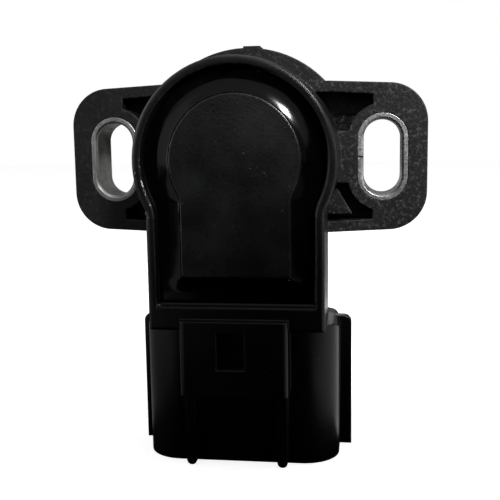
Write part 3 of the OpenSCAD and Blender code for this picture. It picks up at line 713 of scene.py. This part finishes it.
def rounded_profile(corners, radii, steps=6):
    """A closed profile with each corner rounded.

    The rounding runs from a, the corner less its radius, to b, the corner plus it, by the
    quadratic curve (1 - t)^2 a + 2 t (1 - t) corner + t^2 b.
    """
    before, after = np.roll(corners, 1, 0) - corners, np.roll(corners, -1, 0) - corners
    a = corners + radii * before / np.linalg.norm(before, axis=1)[:, None]
    b = corners + radii * after / np.linalg.norm(after, axis=1)[:, None]
    t = np.linspace(0, 1, steps)[None, :, None]
    curve = (1 - t) ** 2 * a[:, None] + 2 * t * (1 - t) * corners[:, None] + t ** 2 * b[:, None]
    return curve.reshape(-1, 2)


def seal_surface(s, steps=128):
    """The shaft seal: its section of straight sides and rounded corners, turned about the axis.

    The section's rows give each corner's radius and level, and its rounding in millimetres.
    """
    out, lip, front = s.seal_out, s.seal_in, s.seal_front
    back = front - s.seal_length
    rows = np.array([
        (out, front, 0.1),
        (lip + 0.5 * MM, front, 0.1),
        (lip + 0.5 * MM, back + 1.15 * MM, 0.1),
        (lip, back + 0.75 * MM, 0.08),
        (lip + 0.3 * MM, back, 0.08),
        (lip + 0.75 * MM, back, 0.1),
        (lip + 0.85 * MM, back + 0.55 * MM, 0.12),
        (out - 0.35 * MM, back + 0.55 * MM, 0.12),
        (out - 0.35 * MM, back, 0.08),
        (out, back, 0.1),
    ])
    return revolved(rounded_profile(rows[:, :2], rows[:, 2:] * MM), steps)


def ring_surface(s, sides=28, steps=160):
    """The O-ring: a round section on the groove's floor, turned about the rotor's axis.

    The section's radius grows by 0.03 e^(-(a / 0.14)^2) at its outer side, as a moulding flash.
    """
    a = np.linspace(0, 2 * math.pi, sides, endpoint=False)
    cord = s.ring_cord / 2
    flash = 1 + 0.03 * np.exp(-(np.minimum(a, 2 * math.pi - a) / 0.14) ** 2)
    radius = s.ring_floor + cord + cord * flash * np.cos(a)
    return revolved(np.stack([radius, -s.ring_at + cord * np.sin(a)], -1), steps)


def tube(path, radius, sides):
    """A round tube along a path of (n, 3) points: path + radius (cos a across + sin a up).

    across is the path's direction crossed with the rotor's axis, or the direction away from
    that axis where the path runs along it. The end rings are drawn in to their middles.
    """
    along = np.gradient(path, axis=0)
    along /= np.linalg.norm(along, axis=1)[:, None]
    across = np.cross(along, [0.0, 1.0, 0.0])
    flat = np.linalg.norm(across, axis=1)[:, None]
    radial = path * [1, 0, 1]
    radial /= np.linalg.norm(radial, axis=1)[:, None]
    across = np.where(flat > 0.2, across / np.maximum(flat, 1e-9), radial)
    up = np.cross(across, along)
    a = (np.arange(sides) * 2 * math.pi / sides)[None, :, None]
    rings = path[:, None] + radius * (np.cos(a) * across[:, None] + np.sin(a) * up[:, None])
    start, end = (np.repeat(p, sides, 0)[None] for p in (path[:1], path[-1:]))
    grid = np.concatenate([start, rings, end])
    return grid.reshape(-1, 3), wrapped_quads(len(grid), sides, close_rows=False)


def spring_surface(low, high, thick=0.3 * MM, turns=5.5, length=3.95 * MM, hook=0.6 * MM,
                   a_turn=36, sides=14):
    """The return spring between the corners low and high of its box, and its ends' levels.

    Its wire of radius thick is a helix (r cos a, -level, r sin a) whose level rises evenly
    with a, after a straight foot along X and before a hooked end along the axis. a_turn is the
    number of rings in a turn.
    """
    r = -low[0] - thick
    first = -high[1] + thick
    last = first + length
    a = np.linspace(math.pi / 2, math.pi / 2 + 2 * math.pi * turns, int(turns * a_turn))
    rise = first + (last - first) * (a - a[0]) / (a[-1] - a[0])
    coil = on_face(r * np.cos(a), r * np.sin(a), rise)
    foot = np.array([[high[0], -first, r], [0.5 * high[0], -first, r]])
    end = coil[-1] + np.array([[0, -hook, 0], [0, low[1] - coil[-1][1], 0]])
    points, quads = tube(np.concatenate([foot, coil, end]), thick, sides)
    return points, quads, first, last


# Operators


class SENSOR_OT_housing(Operator):
    """Finish the moulded housing: flange, head, stem and socket"""

    bl_idname = "sensor.housing"
    bl_label = "Finish Housing"

    def execute(self, context):
        s = context.scene.sensor_plastic
        paint(plastic("Housing Plastic", s.housing, s.worn, s.edge, s.grain, rough=0.28,
                      specular=0.5, rub=0.35, lint=0.1, coarse=0.14), "housing")
        return {"FINISHED"}


class SENSOR_OT_cover(Operator):
    """Finish the keyhole-shaped cover plate"""

    bl_idname = "sensor.cover"
    bl_label = "Finish Cover Plate"

    def execute(self, context):
        s = context.scene.sensor_plastic
        paint(plastic("Cover Plastic", s.cover, s.worn, s.cover_edge, 0.35 * s.grain, rough=0.24,
                      specular=0.5, rub=0.8, fine=2400.0, pit=2600.0, lint=0.05, tone=0.6,
                      ior=1.48), "cover_plate")
        return {"FINISHED"}


class SENSOR_OT_resin(Operator):
    """Pour the resin between cover plate and rim"""

    bl_idname = "sensor.resin"
    bl_label = "Pour Resin"

    def execute(self, context):
        s = context.scene.sensor_resin
        mesh_piece("resin_pool", *resin_surface(s), resin("Cast Resin", s.colour), "body",
                   ["potting"], "resin_black", math.radians(50))
        return {"FINISHED"}


class SENSOR_OT_liners(Operator):
    """Finish the rolled steel liners of the mounting slots"""

    bl_idname = "sensor.liners"
    bl_label = "Finish Slot Liners"

    def execute(self, context):
        s = context.scene.sensor_metal
        # Behind the bores' front, given here, the liners are painted with shade
        paint(metal("Liner Steel", s.liner, rough=0.3, edge=0.16 * MM, stain=0.8, pits=9.0,
                    shaded_bore_front=6.6 * MM), "bushing_left", "bushing_right")
        return {"FINISHED"}


class SENSOR_OT_terminals(Operator):
    """Finish the terminals and their solder"""

    bl_idname = "sensor.terminals"
    bl_label = "Finish Terminals"

    def execute(self, context):
        s = context.scene.sensor_metal
        paint(metal("Tinned Brass", s.terminal, rough=0.22, stain=0.25),
              "pin_supply", "pin_signal", "pin_ground")
        paint(metal("Solder", srgb("cfd0d2"), rough=0.16, stain=0.15), "solder_joints")
        return {"FINISHED"}


class SENSOR_OT_board(Operator):
    """Finish the element board, its printed arcs and traces"""

    bl_idname = "sensor.board"
    bl_label = "Finish Element Board"

    def execute(self, context):
        edge = 0.05 * MM
        paint(plastic("Board Laminate", srgb("27503a"), srgb("6f8f6f"), edge, 0.006 * MM,
                      rough=0.38, specular=0.4), "element_board")
        paint(plastic("Carbon Ink", srgb("101010"), srgb("3a3a3a"), edge, 0.004 * MM,
                      rough=0.5, specular=0.3), "resistor_track", "collector_track")
        paint(metal("Silver Ink", srgb("d5d3cb"), rough=0.42, stain=0.3), "conductor_traces")
        return {"FINISHED"}


class SENSOR_OT_rotor(Operator):
    """Finish the rotor, its wiper and the thrust washer"""

    bl_idname = "sensor.rotor"
    bl_label = "Finish Rotor"

    def execute(self, context):
        s = context.scene.sensor_metal
        paint(plastic("Rotor Nylon", srgb("d8cfb6"), srgb("efe9da"), 0.12 * MM, 0.008 * MM,
                      rough=0.42, specular=0.45, tone=0.1), "rotor")
        paint(plastic("Washer Acetal", srgb("e2dfd6"), srgb("f2f0ea"), 0.05 * MM, 0.004 * MM,
                      rough=0.35, specular=0.45, tone=0.08), "thrust_washer")
        paint(metal("Wiper Bronze", s.wiper, rough=0.25, stain=0.3), "wiper")
        return {"FINISHED"}


class SENSOR_OT_spring(Operator):
    """Wind the return spring round the rotor's shoulder"""

    bl_idname = "sensor.spring"
    bl_label = "Wind Return Spring"

    def execute(self, context):
        low, high = (np.array(v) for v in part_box("return_spring"))
        points, quads, first, last = spring_surface(low, high)
        steel = metal("Spring Steel", context.scene.sensor_metal.spring, rough=0.2, stain=0.3)
        coil = mesh_piece("torsion_coil", points, quads, steel, None, ["return_spring"],
                          "spring_steel", math.radians(60))
        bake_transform(coil)
        return {"FINISHED"}


class SENSOR_OT_seals(Operator):
    """Mould the lipped shaft seal and the O-ring"""

    bl_idname = "sensor.seals"
    bl_label = "Mould Seals"

    def execute(self, context):
        s = context.scene.sensor_seal
        material = rubber("Seal Rubber", s.rubber)
        mesh_piece("lip_seal", *seal_surface(s), material, "body", ["shaft_seal"], "seal_rubber")
        mesh_piece("seal_ring", *ring_surface(s), material, "body", ["o_ring"], "seal_rubber")
        return {"FINISHED"}


# Stage


def place_lamp(name, size, place, aim, power):
    """An area lamp of (width, height) at place, facing aim, in metres and watts."""
    lamp = bpy.data.lights.new(name, "AREA")
    lamp.shape = "RECTANGLE"
    lamp.size, lamp.size_y = size
    lamp.energy = power
    thing = bpy.data.objects.new(name, lamp)
    thing.location = place
    facing = Vector(aim) - Vector(place)
    thing.rotation_euler = facing.to_track_quat("-Z", "Y").to_euler()
    bpy.context.scene.collection.objects.link(thing)


def sheet(name, corners, material):
    """Four-cornered sheets of the studio, which aren't part of the object."""
    mesh = bpy.data.meshes.new(name)
    mesh.from_pydata(corners, [], [tuple(range(i, i + 4)) for i in range(0, len(corners), 4)])
    mesh.materials.append(material)
    thing = bpy.data.objects.new(name, mesh)
    bpy.context.scene.collection.objects.link(thing)
    return thing


def upright(ax, ay, bx, by, low, high):
    """Corners of an upright sheet over the line from (ax, ay) to (bx, by)."""
    return [(ax, ay, low), (bx, by, low), (bx, by, high), (ax, ay, high)]


def level_sheet(z, y, left, right, end_y, end_left=None, end_right=None):
    """Corners of a level sheet, from left to right at y and from end_left to end_right at end_y.

    It stays as wide as it begins where no other end is given.
    """
    end_left = left if end_left is None else end_left
    end_right = right if end_right is None else end_right
    return [(left, y, z), (right, y, z), (end_right, end_y, z), (end_left, end_y, z)]


def tent_cards(floor):
    """Corners of the cards round the set, by tone, in metres.

    The set is open behind the object, where the camera looks, and dark in front of it.
    """
    side, far, back, roof = 0.45, -0.6, 0.4, 0.42       # half width, front, rear and height
    lift = floor + 0.08 * MM                            # the floor cards lie just over the floor
    deep, start, near = -0.13, -0.055, -0.006           # floor: dark, then toned, then the object
    slim, edge = 0.03, 0.016                            # half widths left free at the object
    left_back, right_back = -0.23, 0.03                 # the open floor's corners at the rear
    split, wide = 0.1, 0.17                             # rear and right end of the low right card
    bend = edge + (right_back - edge) * (split - near) / (back - near)
    left, low = -0.32, 0.08                             # front wall: where its tone changes
    turn, sill = -0.26, 0.1                             # right wall's change, rear wall's foot
    return {
        "dark": (
            level_sheet(lift, far, -side, side, deep)
            + level_sheet(lift, deep, -slim, slim, near)
            + upright(left, far, side, far, floor, low)
            + upright(side, turn, side, back, floor, roof)),
        "upper": (
            upright(left, far, side, far, low, roof)
            + level_sheet(roof, far, -side, side, back)
            + level_sheet(lift, deep, -side, -slim, start)),
        "left": (
            upright(-side, far, left, far, floor, roof)
            + upright(-side, far, -side, back, floor, roof)
            + upright(-side, back, left_back, back, floor, roof)),
        "right": (
            upright(side, far, side, turn, floor, roof)
            + upright(right_back, back, side, back, floor, roof)
            + upright(left_back, back, right_back, back, sill, roof)
            + level_sheet(lift, split, bend, side, back, right_back, side)
            + level_sheet(lift, start, wide, side, split)
            + level_sheet(lift, deep, slim, side, start)),
        "low_left": (
            level_sheet(lift, start, -side, -slim, near)
            + level_sheet(lift, near, -side, -edge, back, -side, left_back)),
        "low_right": (
            level_sheet(lift, start, slim, wide, near)
            + level_sheet(lift, near, edge, wide, split, bend, wide)),
    }


def lit_card(name, level):
    """A card that gives off an even light of this level."""
    material, w = new_material(name)
    glow = w.add("ShaderNodeEmission", None, Color=WHITE, Strength=level)
    w.add("ShaderNodeOutputMaterial", None, Surface=glow.outputs[0])
    return material


def seen_ray(w):
    """1 for camera, glossy and transmission rays, so that metal shows the camera's background."""
    path = w.add("ShaderNodeLightPath").outputs
    seen = w.math("MAXIMUM", path["Is Camera Ray"], path["Is Glossy Ray"])
    return w.math("MAXIMUM", seen, path["Is Transmission Ray"])


def floor_material(colour):
    """A matt floor that glows towards seen rays, so that it is white and keeps its shadows."""
    material, w = new_material("Studio Floor")
    matt = w.add("ShaderNodeBsdfDiffuse", None, Color=colour)
    glow = w.add("ShaderNodeEmission", None, Color=WHITE,
                 Strength=w.times(seen_ray(w), FLOOR_GLOW))
    both = w.add("ShaderNodeAddShader", None, s0=matt.outputs[0], s1=glow.outputs[0])
    w.add("ShaderNodeOutputMaterial", None, Surface=both.outputs[0])
    return material


def set_room(scene, ambient):
    """A world that is white to seen rays and lights the object by ambient only."""
    world = bpy.data.worlds.new("Studio Room")
    world.use_nodes = True
    world.node_tree.nodes.clear()
    w = Wires(world.node_tree)
    room = w.add("ShaderNodeBackground", None, Color=WHITE,
                 Strength=w.plus(w.times(seen_ray(w), 1 - ambient), ambient))
    w.add("ShaderNodeOutputWorld", None, Surface=room.outputs[0])
    scene.world = world


def set_camera(scene):
    """The camera, turned by its yaw about Z, then its pitch about X, then its roll about Y."""
    turn = (Matrix.Rotation(CAMERA_YAW, 3, "Z") @ Matrix.Rotation(CAMERA_PITCH, 3, "X")
            @ Matrix.Rotation(CAMERA_ROLL, 3, "Y"))
    right, forward, up = (turn.col[i] for i in range(3))
    data = bpy.data.cameras.new("Camera")
    data.sensor_width = SENSOR_WIDTH
    data.lens = SENSOR_WIDTH * FOCAL_PIXELS / FRAME_PIXELS
    data.clip_start, data.clip_end = 0.01, 20.0
    camera = bpy.data.objects.new("Camera", data)
    pose = Matrix((right, up, -forward)).transposed().to_4x4()
    pose.translation = CAMERA_PLACE
    camera.matrix_world = pose
    scene.collection.objects.link(camera)
    scene.camera = camera


class SENSOR_OT_stage(Operator):
    """Set up the floor, the cards, the lamps, the room and the camera"""

    bl_idname = "sensor.stage"
    bl_label = "Set Stage"

    def execute(self, context):
        s = context.scene.sensor_stage
        low, high = (Vector(v) for v in CAD_BOX)
        ground = low.z
        half = FLOOR_HALF
        sheet("studio_floor", level_sheet(ground, -half, -half, half, half),
              floor_material(s.floor))

        tones = {"dark": 0.0, "upper": s.upper_card, "left": s.left_card, "right": s.right_card,
                 "low_left": s.low_left_card, "low_right": s.low_right_card}
        for name, corners in tent_cards(ground).items():
            title = f"{name.title()} card".replace("_", " ")
            card = sheet(f"{name}_cards", corners, lit_card(title, tones[name]))
            card.visible_camera = card.visible_diffuse = False
            card.visible_transmission = card.visible_shadow = False
        gobo = sheet("key_gobo", upright(*GOBO_LEFT, *GOBO_RIGHT, ground - 0.02, GOBO_TOP),
                     lit_card("Gobo", 0.0))
        gobo.visible_camera = gobo.visible_glossy = False

        for name, (size, place, setting) in LAMPS.items():
            place_lamp(name, size, place, (low + high) / 2, getattr(s, setting))
        set_room(context.scene, s.ambient)
        set_camera(context.scene)
        context.scene.view_settings.view_transform = "Standard"
        return {"FINISHED"}


# Panel and registration


class SENSOR_PT_panel(Panel):
    """Lists the steps that dress the sensor, and their settings"""

    bl_label = "Throttle Position Sensor"
    bl_idname = "SENSOR_PT_panel"
    bl_space_type = "VIEW_3D"
    bl_region_type = "UI"
    bl_category = "Sensor"

    def draw(self, context):
        for key in SETTINGS:
            owner = getattr(context.scene, key)
            box = self.layout.box()
            for setting in owner.__annotations__:
                box.prop(owner, setting)
        for step in STEPS:
            self.layout.operator(step.bl_idname)


SETTINGS = {
    "sensor_plastic": SensorPlasticSettings,
    "sensor_resin": SensorResinSettings,
    "sensor_metal": SensorMetalSettings,
    "sensor_seal": SensorSealSettings,
    "sensor_stage": SensorStageSettings,
}
STEPS = (SENSOR_OT_stage, SENSOR_OT_housing, SENSOR_OT_cover, SENSOR_OT_resin, SENSOR_OT_liners,
         SENSOR_OT_terminals, SENSOR_OT_board, SENSOR_OT_rotor, SENSOR_OT_spring, SENSOR_OT_seals)


def register():
    """Registers every class and hangs the settings on the scene."""
    for key, settings in SETTINGS.items():
        bpy.utils.register_class(settings)
        setattr(bpy.types.Scene, key, PointerProperty(type=settings))
    for item in (*STEPS, SENSOR_PT_panel):
        bpy.utils.register_class(item)


def unregister():
    """Takes the settings off the scene and unregisters every class."""
    for item in reversed((*STEPS, SENSOR_PT_panel)):
        bpy.utils.unregister_class(item)
    for key, settings in reversed(SETTINGS.items()):
        delattr(bpy.types.Scene, key)
        bpy.utils.unregister_class(settings)


def main():
    register()
    bpy.ops.sensor.stage()
    bpy.ops.sensor.housing()
    bpy.ops.sensor.cover()
    bpy.ops.sensor.resin()
    bpy.ops.sensor.liners()
    bpy.ops.sensor.terminals()
    bpy.ops.sensor.board()
    bpy.ops.sensor.rotor()
    bpy.ops.sensor.spring()
    bpy.ops.sensor.seals()


if __name__ == "__main__":
    main()
